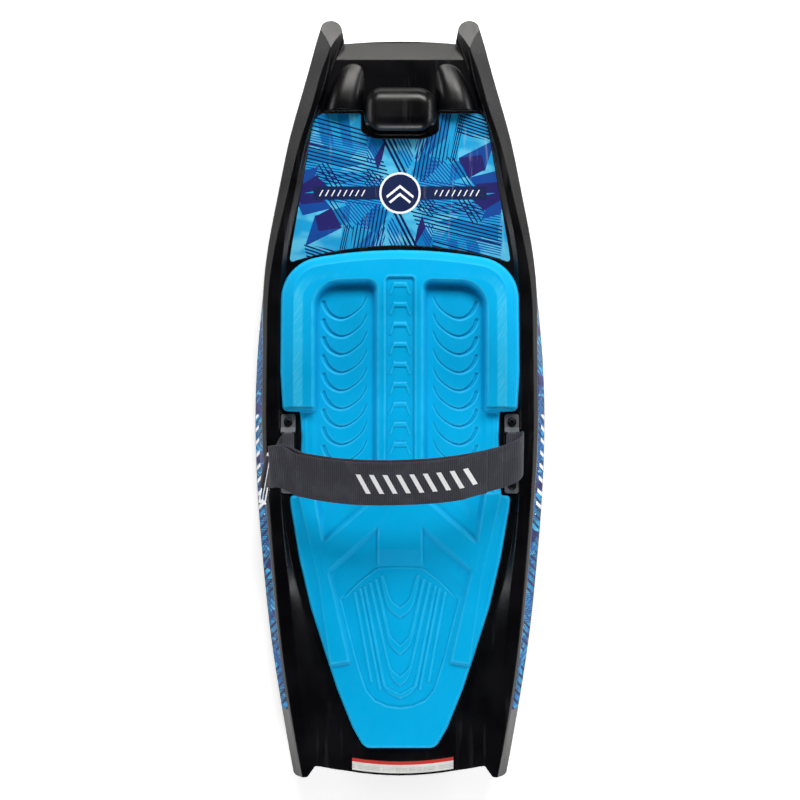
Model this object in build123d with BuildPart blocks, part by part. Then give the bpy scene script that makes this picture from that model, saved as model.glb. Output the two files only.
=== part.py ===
from build123d import *
import os
from math import cos, radians, sin, tan

# Kneeboard, lying flat with its deck up. X right, +Y to the nose, +Z up, millimetres.
# The origin is on the floor under the middle of the board.

os.makedirs("parts", exist_ok=True)

# ---------------------------------------------------------------- hull
HALF_LENGTH = 675
LOFT_END = 700              # the lofted body runs past both ends and is trimmed to the outline
FLAT_SINK = 0.6             # the loft dips this far under the floor and is planed off flat
ROCKER_START = 150          # the nose curves up from here
NOSE_ROCKER = 90
TAIL_ROCKER_START = -350
TAIL_ROCKER = 26
RAIL_TOP = 86
NOSE_RAIL_RISE = 38
TAIL_RAIL_DROP = 4
DECK = 78
NOSE_DECK_RISE = 20
LIP_START = 607             # the deck turns down to the nose edge here
DECK_FALL_START = -180
DECK_FALL_END = -640
TAIL_DECK = 62
CHINE_RUN = 48              # width of the rounded edge between the bottom and the side
RAIL_FLANK = 24             # height of the widest line above the bottom
EDGE_R = 4                  # rounding along the hull's moulded edges

# y, half width, side-face width, bevel width, inner edge of the rail top, edge of the deck
STATIONS = [
    (-LOFT_END, 186, 13, 4, 151, 94),
    (-650, 197, 14, 4, 161, 101),
    (-555, 214.5, 15, 4.5, 175, 118),
    (-448, 232, 17, 5, 187, 147),
    (-322, 246.5, 19, 5, 200, 186),
    (-190, 257.5, 18.5, 6, 211, 209),
    (-31, 263, 16, 7.5, 215, 214),
    (88, 258.5, 13, 7.5, 215, 213),
    (196, 248, 3, 10, 213, 208),
    (284, 236, 1, 14, 207, 197),
    (371, 219, 1, 18, 188, 178),
    (464, 199.5, 1, 22, 166, 161),
    (530, 181, 1, 26, 144, 139),
    (591, 163, 1, 26, 127, 122),
    (625, 153.5, 1, 29, 122.5, 109),
    (660, 142, 1, 19, 121.5, 94),
    (LOFT_END, 128, 1, 11, 114, 88),
]

TAIL_ARC_X = 143
PRONG_X = 123
NOSE_EDGE_X = 99
NOSE_EDGE_Y = 636

WALL = 6
BOTTOM_WALL = 9
FOAM_GAP = 0.3
CORE_STATIONS = [-600, -500, -350, -190, -31, 88, 196, 276, 300, 371, 464, 530, 580]
CORE_FLOOR = 51             # top of the foam under the pad recess

CHANNEL_X = 92
CHANNEL_LENGTH = 1000
CHANNEL_W = 34
CHANNEL_DEPTH = 4

FILL_Y, FILL_R = -300, 16
VENT_Y, VENT_R = 100, 7

# ---------------------------------------------------------------- deck fittings
HOOK_Y0, HOOK_Y1 = 473, 556
HOOK_W = 128
HOOK_TOP = 130
BAR_SEAT_DEPTH = 24
BAR_SEAT_TOP = 117
BAR_SEAT_FLOOR = 91
HOOD_MOUTH_Y = 516
GRAPHIC_SINK = 0.8
LABEL_THICK = 0.3
LABEL_X0, LABEL_X1 = -86, 96
TAIL_ARC_R = 556

# ---------------------------------------------------------------- knee pad
SEAT = 58
PAD_GAP = 0.5
PAD_BASE_TOP = 84
PAD_TAIL_TOP = 70
WELL_FLOOR = 79
BOLSTER_TOP = 101
RIDGE_TOP = 93
SPINE_FLOOR = 89
LOWER_BOLSTER_TOP = 94
WELL_X0, WELL_X1 = 50, 148

# ---------------------------------------------------------------- strap and brackets
BRACKET_X = 200
BRACKET_SEAT = 77
PLATE_W = 26
PLATE_Y0, PLATE_Y1 = -167, -25
PLATE_T = 3.5
BAR_W = 15
BAR_Z = 90                  # underside of the raised bar that holds the webbing
BAR_Y0, BAR_Y1 = -139, -53
SCREW_YS = (-39, -153)
SCREW_R = 3
WASHER_R, WASHER_T = 8, 2.2
HEAD_R, HEAD_T = 5.5, 3.2
SOCKET_R = 2.2
INSERT_R = 5
INSERT_L = 12

STRAP_W = 82
LAYER = 2.5
TAPE = 1.2
STITCH_GAP = 0.15           # between two layers of the arch
PIVOT_Y = (BAR_Y0 + BAR_Y1) / 2
PIVOT_Z = BAR_Z + PLATE_T / 2
STRAP_LEAN = 23             # degrees that the arch leans to the tail
ARCH_TOP = 106
ARCH_DROP = 34
ARCH_HALF = 190

BUCKLE_C = (-236, -139, 113)
BUCKLE_SKEW = 10            # degrees in plan
BUCKLE_PITCH = 63           # degrees from level
BUCKLE_L, BUCKLE_H, BUCKLE_T = 92, 32, 3
SLOT_L, SLOT_H = 78, 8
RIM = 6
WEB_ON_BUCKLE = 74
RETURN_END = 152            # where the folded-back layer ends, near the right bracket


def save(piece, name):
    piece.part.label = name
    export_step(piece.part, f"parts/{name}.step")


def at(y):
    """Station values at y, straight between the stations."""
    for low, high in zip(STATIONS, STATIONS[1:]):
        if low[0] <= y <= high[0]:
            t = (y - low[0]) / (high[0] - low[0])
            return [a + t * (b - a) for a, b in zip(low, high)]


def bottom_z(y):
    nose = max(0, y - ROCKER_START) / (HALF_LENGTH - ROCKER_START)
    tail = max(0, TAIL_ROCKER_START - y) / (HALF_LENGTH + TAIL_ROCKER_START)
    return NOSE_ROCKER * nose**2 + TAIL_ROCKER * tail**2 - FLAT_SINK


def rail_z(y):
    nose = max(0, y - ROCKER_START) / (HALF_LENGTH - ROCKER_START)
    tail = max(0, TAIL_ROCKER_START - y) / (HALF_LENGTH + TAIL_ROCKER_START)
    return RAIL_TOP + NOSE_RAIL_RISE * nose**2 - TAIL_RAIL_DROP * tail**2


def deck_z(y):
    nose = max(0, y - ROCKER_START) / (LIP_START - ROCKER_START)
    fall = min(1, max(0, DECK_FALL_START - y) / (DECK_FALL_START - DECK_FALL_END))
    return DECK + NOSE_DECK_RISE * nose**2 - (DECK - TAIL_DECK) * fall


def flank(y):
    """The side face in section: its widest point and its top edge, as (x, z) pairs."""
    _, half, side, bevel, _, _ = at(y)
    top = rail_z(y) - 8 - 0.62 * max(0, bevel - 6)
    widest = bottom_z(y) + min(RAIL_FLANK, 0.55 * (top - bottom_z(y)))
    return (half, widest), (half - side, top)


def mirrored(right):
    return right + [(-x, z) for x, z in reversed(right)]


def hull_section(y):
    _, half, side, bevel, inner, deck_edge = at(y)
    widest, side_top = flank(y)
    low = bottom_z(y)
    return mirrored([
        (half - CHINE_RUN, low),
        (half - 14, low + 0.42 * (widest[1] - low)),
        widest,
        side_top,
        (half - side - bevel, rail_z(y)),
        (inner, rail_z(y)),
        (deck_edge, deck_z(y)),
    ])


def core_section(y, gap):
    _, half, side, bevel, inner, _ = at(y)
    widest, side_top = flank(y)
    low = bottom_z(y) + BOTTOM_WALL + gap
    top = rail_z(y) - WALL - gap
    under_deck = (CORE_FLOOR if y < 280 else deck_z(y) - WALL) - gap
    return mirrored([
        (half - CHINE_RUN - gap, low),
        (half - 19 - gap, low + 0.3 * (widest[1] - low)),
        (half - WALL - gap, widest[1] + 1),
        (side_top[0] - WALL - gap, side_top[1] - WALL),
        (half - side - bevel - 3 - gap, top),
        (inner + 5 + gap, top),
        (inner + 3 + gap, under_deck),
    ])


def cross_plane(y):
    """Section plane at y, drawn with X to the right and Z up."""
    return Plane(origin=(0, y, 0), x_dir=(1, 0, 0), z_dir=(0, -1, 0))


def polygon_face(plane, points):
    with BuildSketch(plane) as face:
        with BuildLine():
            Polyline(*points, close=True)
        make_face()
    return face.sketch


def corner_radius(before, corner, after):
    """EDGE_R, or as much of it as the corner's two sides leave room for."""
    a, b = Vector(*before) - Vector(*corner), Vector(*after) - Vector(*corner)
    return min(EDGE_R, 0.4 * min(a.length, b.length) * tan(radians(a.get_angle(b) / 2)))


def rounded_face(plane, points):
    """Closed section whose corners are rounded like a moulded edge."""
    after = points[1:] + points[:1]
    radii = [corner_radius(*corner) for corner in zip(points[-1:] + points[:-1], points, after)]
    with BuildSketch(plane) as face:
        with BuildLine():
            FilletPolyline(*points, close=True, radius=radii)
        make_face()
    return face.sketch


def hull_outline(plane):
    """Plan of the board: two nose prongs, an arched tail and tail corner tips."""
    wide = 300
    with BuildSketch(plane) as outline:
        with BuildLine():
            ThreePointArc((0, -HALF_LENGTH), (72, -670.3), (TAIL_ARC_X, -656.4))
            FilletPolyline((TAIL_ARC_X, -656.4), (152, -655), (166, -675), (191, -675), (201, -640),
                           (wide, -600), (wide, 560), (173, 575), (143, 658.5),
                           radius=[4, 8, 10, 20, 5, 5, 5])
            ThreePointArc((143, 658.5), (PRONG_X, HALF_LENGTH), (103.4, 659))
            Line((103.4, 659), (NOSE_EDGE_X, NOSE_EDGE_Y))
            ThreePointArc((NOSE_EDGE_X, NOSE_EDGE_Y), (50, 639.8), (0, 641))
            mirror(about=Plane.YZ)
        make_face()
    return outline.sketch


def pad_outline(plane, grow=0):
    """Plan of the knee pad, notched each side for the strap brackets."""
    with BuildSketch(plane) as outline:
        with BuildLine():
            FilletPolyline((136, 257.2), (212.5, 243), (214, 50), (209.5, -21), (179.5, -21),
                           (177, -67), (181, -171), (198, -171), (196.5, -190), (181, -283),
                           (160.5, -372), (135, -452), (113, -519), (85, -589), (64, -625),
                           (0, -625),
                           radius=[77, 60, 10, 2, 30, 5, 7, 8, 200, 200, 200, 200, 100, 20])
            mirror(about=Plane.YZ)
            ThreePointArc((-136, 257.2), (0, 268), (136, 257.2))
        make_face()
        if grow:
            offset(amount=grow)
    return outline.sketch


def graphic_outline(plane, grow=0):
    """Plan of the nose panel, cut away round the tow hook."""
    with BuildSketch(plane) as outline:
        with BuildLine():
            FilletPolyline((186, 250), (198, 245), (194.5, 270), (177, 371), (152, 511), (70, 511),
                           (70, 478), (45, 466), (0, 466),
                           radius=[5, 30, 400, 22, 3, 12, 40])
            mirror(about=Plane.YZ)
            ThreePointArc((-186, 250), (0, 277), (186, 250))
        make_face()
        if grow:
            offset(amount=grow)
    return outline.sketch


def deck_band(low, high):
    """Side view of a band that follows the nose deck, from low to high above its surface."""
    ys = [225 + 60 * i for i in range(6)]
    with BuildSketch(Plane.YZ) as band:
        with BuildLine():
            under = Spline(*[(y, deck_z(y) + low) for y in ys])
            over = Spline(*[(y, deck_z(y) + high) for y in ys])
            Line(under @ 0, over @ 0)
            Line(under @ 1, over @ 1)
        make_face()
    return band.sketch


def rail_strip(side, sink, stand, margin):
    """Sections of a side graphic between the widest line and the side's top edge."""
    sections = []
    for y in (-555, -448, -322, -190, -31, 88, 196):
        (x0, z0), (x1, z1) = flank(y)
        low, high = 0.10 - margin, 0.93 + margin
        a = (x0 + low * (x1 - x0), z0 + low * (z1 - z0))
        b = (x0 + high * (x1 - x0), z0 + high * (z1 - z0))
        sections.append(polygon_face(cross_plane(y), [
            (side * (a[0] - sink), a[1]), (side * (a[0] + stand), a[1]),
            (side * (b[0] + stand), b[1]), (side * (b[0] - sink), b[1])]))
    return sections


def hood_ellipse(side, y, centre, rx, rise, floor):
    """Upper half of an ellipse standing on the deck at y."""
    base = deck_z(y) + floor
    with BuildSketch(cross_plane(y)) as face:
        with Locations((side * centre, base)):
            Ellipse(rx, rise)
        with Locations((side * centre, base - rise)):
            Rectangle(2 * rx + 2, 2 * rise, mode=Mode.SUBTRACT)
    return face.sketch


HOOD_SECTIONS = [(HOOD_MOUTH_Y, 101, 36, 34), (545, 96, 33, 31), (572, 90, 28, 22), (600, 82, 20, 8)]
HOOD_CAVITY = [(HOOD_MOUTH_Y - 4, 101, 29, 18), (540, 96, 26, 15), (562, 91, 18, 7)]


# ---------------------------------------------------------------- hull
def make_core(gap):
    with BuildPart() as core:
        loft([polygon_face(cross_plane(y), core_section(y, gap)) for y in CORE_STATIONS],
             ruled=True)
    return core


def make_lip_cutter():
    """What the nose deck loses between the prongs, where it turns down to its front edge."""
    with BuildPart() as cutter:
        with BuildSketch(Plane.YZ):
            Polygon((LIP_START - 6, 98.5), (LIP_START, 97.6), (NOSE_EDGE_Y + 2, 84), (650, 77),
                    (650, 160), (LIP_START - 6, 160), align=None)
        extrude(amount=150, both=True)
        with BuildSketch(Plane.XY.offset(60)):
            Polygon((-117, 600), (-96, 645), (96, 645), (117, 600), align=None)
        extrude(amount=90, mode=Mode.INTERSECT)
    return cutter


def make_prong_cutter():
    """What slopes the tips of the prongs."""
    with BuildPart() as cutter:
        with BuildSketch(Plane.YZ):
            Polygon((625, rail_z(625)), (680, 97), (680, 160), (625, 160), align=None)
        extrude(amount=200, both=True)
    return cutter


def make_graphic(low, high, grow):
    with BuildPart() as panel:
        extrude(deck_band(low, high), amount=250, both=True)
        extrude(graphic_outline(Plane.XY.offset(40), grow), amount=120, mode=Mode.INTERSECT)
    return panel


def make_rail_strip(side, sink, stand, margin):
    with BuildPart() as strip:
        loft(rail_strip(side, sink, stand, margin))
    return strip


def make_tow_hook():
    """Block on the nose deck with an undercut seat, open to the tail, for the handle's bar."""
    with BuildPart() as hook:
        with BuildSketch(Plane.XY.offset(84)):
            with Locations((0, (HOOK_Y0 + HOOK_Y1) / 2)):
                RectangleRounded(HOOK_W, HOOK_Y1 - HOOK_Y0, 32)
        extrude(amount=HOOK_TOP - 84)
        fillet(hook.faces().sort_by(Axis.Z)[-1].edges(), radius=28)
        with BuildSketch(Plane.YZ):
            with Locations((HOOK_Y0, (BAR_SEAT_FLOOR + BAR_SEAT_TOP) / 2)):
                SlotOverall(2 * BAR_SEAT_DEPTH, BAR_SEAT_TOP - BAR_SEAT_FLOOR - 1)
        extrude(amount=HOOK_W, both=True, mode=Mode.SUBTRACT)
    return hook


def make_hood(side):
    with BuildPart() as hood:
        loft([hood_ellipse(side, *section, -9) for section in HOOD_SECTIONS])
    return hood


def make_hood_cavity(side):
    with BuildPart() as cavity:
        loft([hood_ellipse(side, *section, 2) for section in HOOD_CAVITY])
    return cavity


def make_label(low, high):
    """Label on the tail deck, curved with the tail edge."""
    with BuildPart() as label:
        with BuildSketch(Plane.XY.offset(TAIL_DECK + low)):
            with Locations((0, TAIL_ARC_R - HALF_LENGTH)):
                Circle(TAIL_ARC_R - 4)
                Circle(TAIL_ARC_R - 25, mode=Mode.SUBTRACT)
            with Locations(((LABEL_X0 + LABEL_X1) / 2, 20 - HALF_LENGTH)):
                Rectangle(LABEL_X1 - LABEL_X0, 60, mode=Mode.INTERSECT)
        extrude(amount=high - low)
    return label


def make_hull():
    with BuildPart() as hull_shell:
        loft([rounded_face(cross_plane(s[0]), hull_section(s[0])) for s in STATIONS])
        extrude(hull_outline(Plane.XY), amount=200, mode=Mode.INTERSECT)
        add(make_lip_cutter().part, mode=Mode.SUBTRACT)
        add(make_prong_cutter().part, mode=Mode.SUBTRACT)
        add(make_tow_hook().part)
        for side in (-1, 1):
            add(make_hood(side).part)
            add(make_hood_cavity(side).part, mode=Mode.SUBTRACT)
        for side in (-1, 1):
            add(make_rail_strip(side, GRAPHIC_SINK, 4, 0.004).part, mode=Mode.SUBTRACT)
        add(make_graphic(-GRAPHIC_SINK, 40, 0.3).part, mode=Mode.SUBTRACT)
        add(make_label(-LABEL_THICK, 10).part, mode=Mode.SUBTRACT)
        extrude(pad_outline(Plane.XY.offset(SEAT - 0.2), PAD_GAP), amount=60, mode=Mode.SUBTRACT)
        with BuildSketch(Plane.XY.offset(BRACKET_SEAT)):
            with Locations((-BRACKET_X, PIVOT_Y), (BRACKET_X, PIVOT_Y)):
                Rectangle(PLATE_W + 1, PLATE_Y1 - PLATE_Y0 + 1)
        extrude(amount=20, mode=Mode.SUBTRACT)
        with BuildSketch(Plane.XY.offset(BRACKET_SEAT - INSERT_L - 1)):
            with Locations(*[(side * BRACKET_X, y) for side in (-1, 1) for y in SCREW_YS]):
                Circle(INSERT_R)
        extrude(amount=INSERT_L + 1, mode=Mode.SUBTRACT)
        with BuildSketch(Plane.XY):
            with Locations((-CHANNEL_X, 0), (CHANNEL_X, 0)):
                SlotOverall(CHANNEL_LENGTH, CHANNEL_W, rotation=90)
        extrude(amount=CHANNEL_DEPTH, mode=Mode.SUBTRACT)
        add(make_core(0).part, mode=Mode.SUBTRACT)
        with BuildSketch(Plane.XY.offset(CORE_FLOOR - 1)):
            with Locations((0, FILL_Y)):
                Circle(FILL_R)
            with Locations((0, VENT_Y)):
                Circle(VENT_R)
        extrude(amount=SEAT - CORE_FLOOR + 2, mode=Mode.SUBTRACT)
    return hull_shell


def make_plug(y, radius):
    """Round plug that closes a hole in the floor of the pad recess."""
    with BuildPart() as plug:
        with BuildSketch(Plane.XY.offset(CORE_FLOOR)):
            with Locations((0, y)):
                Circle(radius)
        extrude(amount=SEAT - 0.4 - CORE_FLOOR)
        chamfer(plug.edges().group_by(Axis.Z)[0], length=1)
    return plug


# ---------------------------------------------------------------- knee pad
def well_sketch(plane):
    """The two knee wells, left and right of the middle ridge."""
    with BuildSketch(plane) as wells:
        with BuildLine():
            FilletPolyline((WELL_X0, 206), (WELL_X1, 206), (WELL_X1, -160), (WELL_X0, -160),
                           close=True, radius=24)
        make_face()
        mirror(about=Plane.YZ)
    return wells.sketch


def tail_plane(lift):
    """Plane of the pad's top behind the knees, which falls to the tail."""
    fall = (PAD_BASE_TOP - PAD_TAIL_TOP) / (HALF_LENGTH - 50 - 170)
    return Plane(origin=(0, -170, PAD_BASE_TOP + lift), x_dir=(1, 0, 0), z_dir=(0, -fall, 1))


def shin_shapes():
    """Right-hand halves of the raised shapes behind the strap, measured from the tail plane."""
    with BuildSketch(tail_plane(0)) as shapes:
        with BuildLine():
            Polyline((47, -1), (92, -1), (142, -48), (142, -84), close=True)
        make_face()
        with BuildLine():
            Polyline((42, -60), (42, -100), (60, -101), (100, -132), (137, -132), (92, -90),
                     close=True)
        make_face()
        mirror(about=Plane.YZ)
        with Locations((0, -52)):
            Rectangle(84, 104)
    return shapes.sketch


def foot_shield(plane):
    """Plan of the sunk shield that the feet rest on, measured from the tail plane."""
    with BuildSketch(plane) as shield:
        with BuildLine():
            FilletPolyline((0, -130), (38, -131), (68, -149), (104, -188), (78, -286), (54, -356),
                           (32, -378), (0, -379), radius=[14, 14, 10, 60, 30, 30])
            mirror(about=Plane.YZ)
        make_face()
    return shield.sketch


def make_lower_bolsters():
    """Long bolsters beside the shins, with rounded tail ends."""
    with BuildPart() as bolster:
        with BuildSketch(Plane.XY.offset(PAD_TAIL_TOP)):
            with BuildLine():
                FilletPolyline((-152, -173), (-193, -173), (-193, -190), (-178, -283),
                               (-157, -372), (-125, -474), (-80, -474), (-104, -380),
                               (-128, -290), close=True, radius=9)
            make_face()
        extrude(amount=LOWER_BOLSTER_TOP - PAD_TAIL_TOP, taper=14)
        with BuildSketch(Plane.YZ):
            Polygon((-150, LOWER_BOLSTER_TOP), (-500, LOWER_BOLSTER_TOP - 12), (-500, 130),
                    (-150, 130), align=None)
        extrude(amount=250, both=True, mode=Mode.SUBTRACT)
        mirror(about=Plane.YZ)
    return bolster


def make_upper_bolster():
    """Bolster round the front and sides of the knee wells."""
    with BuildPart() as bolster:
        with BuildSketch(Plane.XY.offset(PAD_BASE_TOP)):
            add(pad_outline(Plane.XY))
            with Locations((0, 129)):
                Rectangle(500, 300, mode=Mode.INTERSECT)
            with BuildLine():
                FilletPolyline((-154, -30), (-154, 218), (154, 218), (154, -30), close=True,
                               radius=[36, 36, 1, 1])
            make_face(mode=Mode.SUBTRACT)
        extrude(amount=BOLSTER_TOP - PAD_BASE_TOP)
        chamfer(bolster.faces().sort_by(Axis.Z)[-1].edges(), length=7)
    return bolster


def make_pad():
    with BuildPart() as knee_pad:
        extrude(pad_outline(Plane.XY.offset(SEAT)), amount=PAD_BASE_TOP - SEAT)
        with BuildSketch(tail_plane(0)):
            with Locations((0, -300)):
                Rectangle(600, 600)
        extrude(amount=40, mode=Mode.SUBTRACT)
        extrude(shin_shapes(), amount=3.5)
        extrude(foot_shield(tail_plane(0)), amount=-4, mode=Mode.SUBTRACT)
        add(make_lower_bolsters().part)
        with BuildSketch(Plane.XY.offset(PAD_BASE_TOP)):
            with Locations((0, 32)):
                Rectangle(90, 392)
        extrude(amount=RIDGE_TOP - PAD_BASE_TOP, taper=30)
        extrude(well_sketch(Plane.XY.offset(PAD_BASE_TOP)), amount=WELL_FLOOR - PAD_BASE_TOP,
                mode=Mode.SUBTRACT)
        add(make_upper_bolster().part)
        with BuildSketch(Plane.XY.offset(RIDGE_TOP)):
            with Locations((0, 26)):
                RectangleRounded(54, 396, 8)
        extrude(amount=SPINE_FLOOR - RIDGE_TOP, mode=Mode.SUBTRACT)
    return knee_pad


# ---------------------------------------------------------------- brackets and fasteners
def make_bracket(side):
    """Moulded bracket: two screwed feet and a raised bar that the webbing goes round."""
    foot = BRACKET_SEAT + PLATE_T
    with BuildPart() as bracket:
        with BuildSketch(Plane.YZ.offset(side * BRACKET_X)):
            Polygon((PLATE_Y0, BRACKET_SEAT), (BAR_Y0 - 2, BRACKET_SEAT), (BAR_Y0 + 6, BAR_Z),
                    (BAR_Y1 - 6, BAR_Z), (BAR_Y1 + 2, BRACKET_SEAT), (PLATE_Y1, BRACKET_SEAT),
                    (PLATE_Y1, foot), (BAR_Y1 + 4, foot), (BAR_Y1 - 4, BAR_Z + PLATE_T),
                    (BAR_Y0 + 4, BAR_Z + PLATE_T), (BAR_Y0 - 4, foot), (PLATE_Y0, foot),
                    align=None)
        extrude(amount=PLATE_W / 2, both=True)
        fillet(bracket.edges().filter_by(Axis.Z), radius=5)
        with BuildSketch(Plane.XY.offset(BAR_Z - 1)):
            with Locations((side * BRACKET_X - PLATE_W / 2, PIVOT_Y),
                           (side * BRACKET_X + PLATE_W / 2, PIVOT_Y)):
                Rectangle(PLATE_W - BAR_W, BAR_Y1 - BAR_Y0 - 8)
        extrude(amount=PLATE_T + 2, mode=Mode.SUBTRACT)
        with Locations(*[(side * BRACKET_X, y, foot) for y in SCREW_YS]):
            Hole(SCREW_R + 0.3, depth=PLATE_T)
    return bracket


def make_washers(side):
    """Domed washers under the two screw heads."""
    foot = BRACKET_SEAT + PLATE_T
    with BuildPart() as washers:
        with BuildSketch(Plane.XY.offset(foot)):
            with Locations(*[(side * BRACKET_X, y) for y in SCREW_YS]):
                Circle(WASHER_R)
                Circle(SCREW_R + 0.3, mode=Mode.SUBTRACT)
        extrude(amount=WASHER_T)
        chamfer(washers.edges().group_by(Axis.Z)[-1].filter_by(lambda e: e.radius > SCREW_R + 1),
                length=1.2)
    return washers


def make_screws(side):
    """Two pan-head screws with socket recesses."""
    head = BRACKET_SEAT + PLATE_T + WASHER_T
    spots = [(side * BRACKET_X, y) for y in SCREW_YS]
    with BuildPart() as screws:
        with BuildSketch(Plane.XY.offset(BRACKET_SEAT - INSERT_L + 1)):
            with Locations(*spots):
                Circle(SCREW_R)
        extrude(amount=head - BRACKET_SEAT + INSERT_L - 1)
        with BuildSketch(Plane.XY.offset(head)):
            with Locations(*spots):
                Circle(HEAD_R)
        extrude(amount=HEAD_T)
        fillet(screws.edges().group_by(Axis.Z)[-1], radius=1.4)
        with BuildSketch(Plane.XY.offset(head + HEAD_T)):
            with Locations(*spots):
                RegularPolygon(SOCKET_R, 6)
        extrude(amount=-1.6, mode=Mode.SUBTRACT)
    return screws


def make_inserts(side):
    """Threaded inserts moulded into the hull under the bracket's screws."""
    with BuildPart() as inserts:
        with BuildSketch(Plane.XY.offset(BRACKET_SEAT - INSERT_L)):
            with Locations(*[(side * BRACKET_X, y) for y in SCREW_YS]):
                Circle(INSERT_R)
                Circle(SCREW_R, mode=Mode.SUBTRACT)
        extrude(amount=INSERT_L)
    return inserts


# ---------------------------------------------------------------- strap
LEAN_SIN, LEAN_COS = sin(radians(STRAP_LEAN)), cos(radians(STRAP_LEAN))
ARCH_PLANE = Plane(origin=(0, PIVOT_Y, PIVOT_Z), x_dir=(1, 0, 0), z_dir=(0, -LEAN_COS, -LEAN_SIN))
WEB_DIR = Vector(0, LEAN_COS, LEAN_SIN)


def arch_v(u):
    """Height of the strap's underside above its pivot, in the arch's own plane."""
    return ARCH_TOP - ARCH_DROP * (abs(u) / ARCH_HALF)**2.6


def make_layer(u0, u1, lift, thick, width):
    """One layer of webbing or tape on the arch, from u0 to u1."""
    steps = 10
    us = [u0 + (u1 - u0) * i / steps for i in range(steps + 1)]
    with BuildPart() as layer:
        with BuildSketch(ARCH_PLANE):
            with BuildLine():
                under = Spline(*[(u, arch_v(u) + lift) for u in us])
                over = Spline(*[(u, arch_v(u) + lift + thick) for u in us])
                Line(under @ 0, over @ 0)
                Line(under @ 1, over @ 1)
            make_face()
        extrude(amount=width / 2, both=True)
    return layer


def band_face(centre, along, across, thick, width):
    """Cross-section of a webbing band: its width lies along `across`."""
    across = across.normalized()
    square = along - across * along.dot(across)
    with BuildSketch(Plane(origin=centre, x_dir=across, z_dir=square)) as face:
        Rectangle(width, thick)
    return face.sketch


def sleeve_sketch(plane, length_of_hole, height_of_hole):
    """Section of webbing sewn into a loop round a bar."""
    with BuildSketch(plane) as loop:
        RectangleRounded(length_of_hole + 2 * LAYER, height_of_hole + 2 * LAYER, 3)
        RectangleRounded(length_of_hole, height_of_hole, 1, mode=Mode.SUBTRACT)
    return loop.sketch


def strap_end_faces(side, end_centre, end_across):
    """Sections of the webbing from the arch's end down to the side of a loop at end_centre."""
    top = Vector(side * (ARCH_HALF + 0.4), PIVOT_Y, PIVOT_Z)
    start = top + Vector(0, -LEAN_SIN, LEAN_COS) * (arch_v(ARCH_HALF) + LAYER / 2)
    bulge = (start + end_centre) * 0.5 + Vector(side * 12, 0, 8)
    return [band_face(start, Vector(side, 0, 0), WEB_DIR, LAYER, STRAP_W),
            band_face(bulge, Vector(side * 0.35, 0.1, -0.9), (WEB_DIR + end_across) * 0.5, LAYER,
                      STRAP_W),
            band_face(end_centre, Vector(0, 0, -1), end_across, LAYER, WEB_ON_BUCKLE)]


def bar_loop(side):
    """Section plane at the tail end of the loop round a bracket's bar."""
    return Plane(origin=(side * BRACKET_X, PIVOT_Y - WEB_ON_BUCKLE / 2, PIVOT_Z), x_dir=(1, 0, 0),
                 z_dir=(0, 1, 0))


def make_right_end():
    """Fixed end of the strap: sewn round the right bracket's bar."""
    outside = Vector(BRACKET_X + BAR_W / 2 + LAYER, PIVOT_Y, PIVOT_Z + 4)
    with BuildPart() as end:
        extrude(sleeve_sketch(bar_loop(1), BAR_W + 0.6, PLATE_T + 0.6), amount=WEB_ON_BUCKLE)
        loft(strap_end_faces(1, outside, Vector(0, 1, 0)), ruled=True)
    return end


def buckle_plane():
    """Plane of the buckle: x along its long side, y from its lower rim to its upper rim."""
    skew, pitch = radians(BUCKLE_SKEW), radians(BUCKLE_PITCH)
    long_side = Vector(sin(skew), cos(skew), 0)
    up = Vector(cos(pitch) * cos(skew), -cos(pitch) * sin(skew), sin(pitch))
    return Plane(origin=BUCKLE_C, x_dir=long_side, z_dir=long_side.cross(up))


def make_buckle():
    """Flat steel slide with two webbing slots."""
    with BuildPart() as buckle:
        with BuildSketch(buckle_plane()):
            RectangleRounded(BUCKLE_L, BUCKLE_H, 5)
            with Locations((0, RIM + SLOT_H / 2 - BUCKLE_H / 2), (0, BUCKLE_H / 2 - RIM - SLOT_H / 2)):
                RectangleRounded(SLOT_L, SLOT_H, 2, mode=Mode.SUBTRACT)
        extrude(amount=BUCKLE_T / 2, both=True)
        fillet(buckle.faces().group_by(Face.area)[-1].edges(), radius=0.6)
    return buckle


def rim_loop_plane(up):
    """Section plane at one end of the loop round the buckle's upper or lower rim."""
    plane = buckle_plane()
    offset_up = up * (BUCKLE_H - RIM) / 2
    origin = plane.from_local_coords(Vector(-WEB_ON_BUCKLE / 2, offset_up, 0))
    return Plane(origin=origin, x_dir=plane.y_dir, z_dir=plane.x_dir)


def make_left_end():
    """Strap from the arch down to the buckle's upper rim, where it folds back."""
    plane = buckle_plane()
    inside = plane.from_local_coords(
        Vector(0, BUCKLE_H / 2 - RIM / 2 + 3, BUCKLE_T / 2 + LAYER / 2 + 1.4))
    with BuildPart() as end:
        extrude(sleeve_sketch(rim_loop_plane(1), RIM + 0.8, BUCKLE_T + 0.8), amount=WEB_ON_BUCKLE)
        loft(strap_end_faces(-1, inside, plane.x_dir), ruled=True)
    return end


def make_anchor():
    """Webbing that ties the buckle's lower rim to the left bracket's bar."""
    plane = buckle_plane()
    low = plane.from_local_coords(Vector(0, RIM / 2 - BUCKLE_H / 2, BUCKLE_T / 2 + LAYER / 2 + 1))
    bar = Vector(-BRACKET_X - BAR_W / 2 - LAYER, PIVOT_Y, PIVOT_Z + 2)
    along = bar - low
    with BuildPart() as anchor:
        extrude(sleeve_sketch(rim_loop_plane(-1), RIM + 0.8, BUCKLE_T + 0.8), amount=WEB_ON_BUCKLE)
        extrude(sleeve_sketch(bar_loop(-1), BAR_W + 0.6, PLATE_T + 0.6), amount=WEB_ON_BUCKLE)
        loft([band_face(low, along, plane.x_dir, LAYER, WEB_ON_BUCKLE),
              band_face(bar, along, Vector(0, 1, 0), LAYER, WEB_ON_BUCKLE)], ruled=True)
    return anchor


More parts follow.
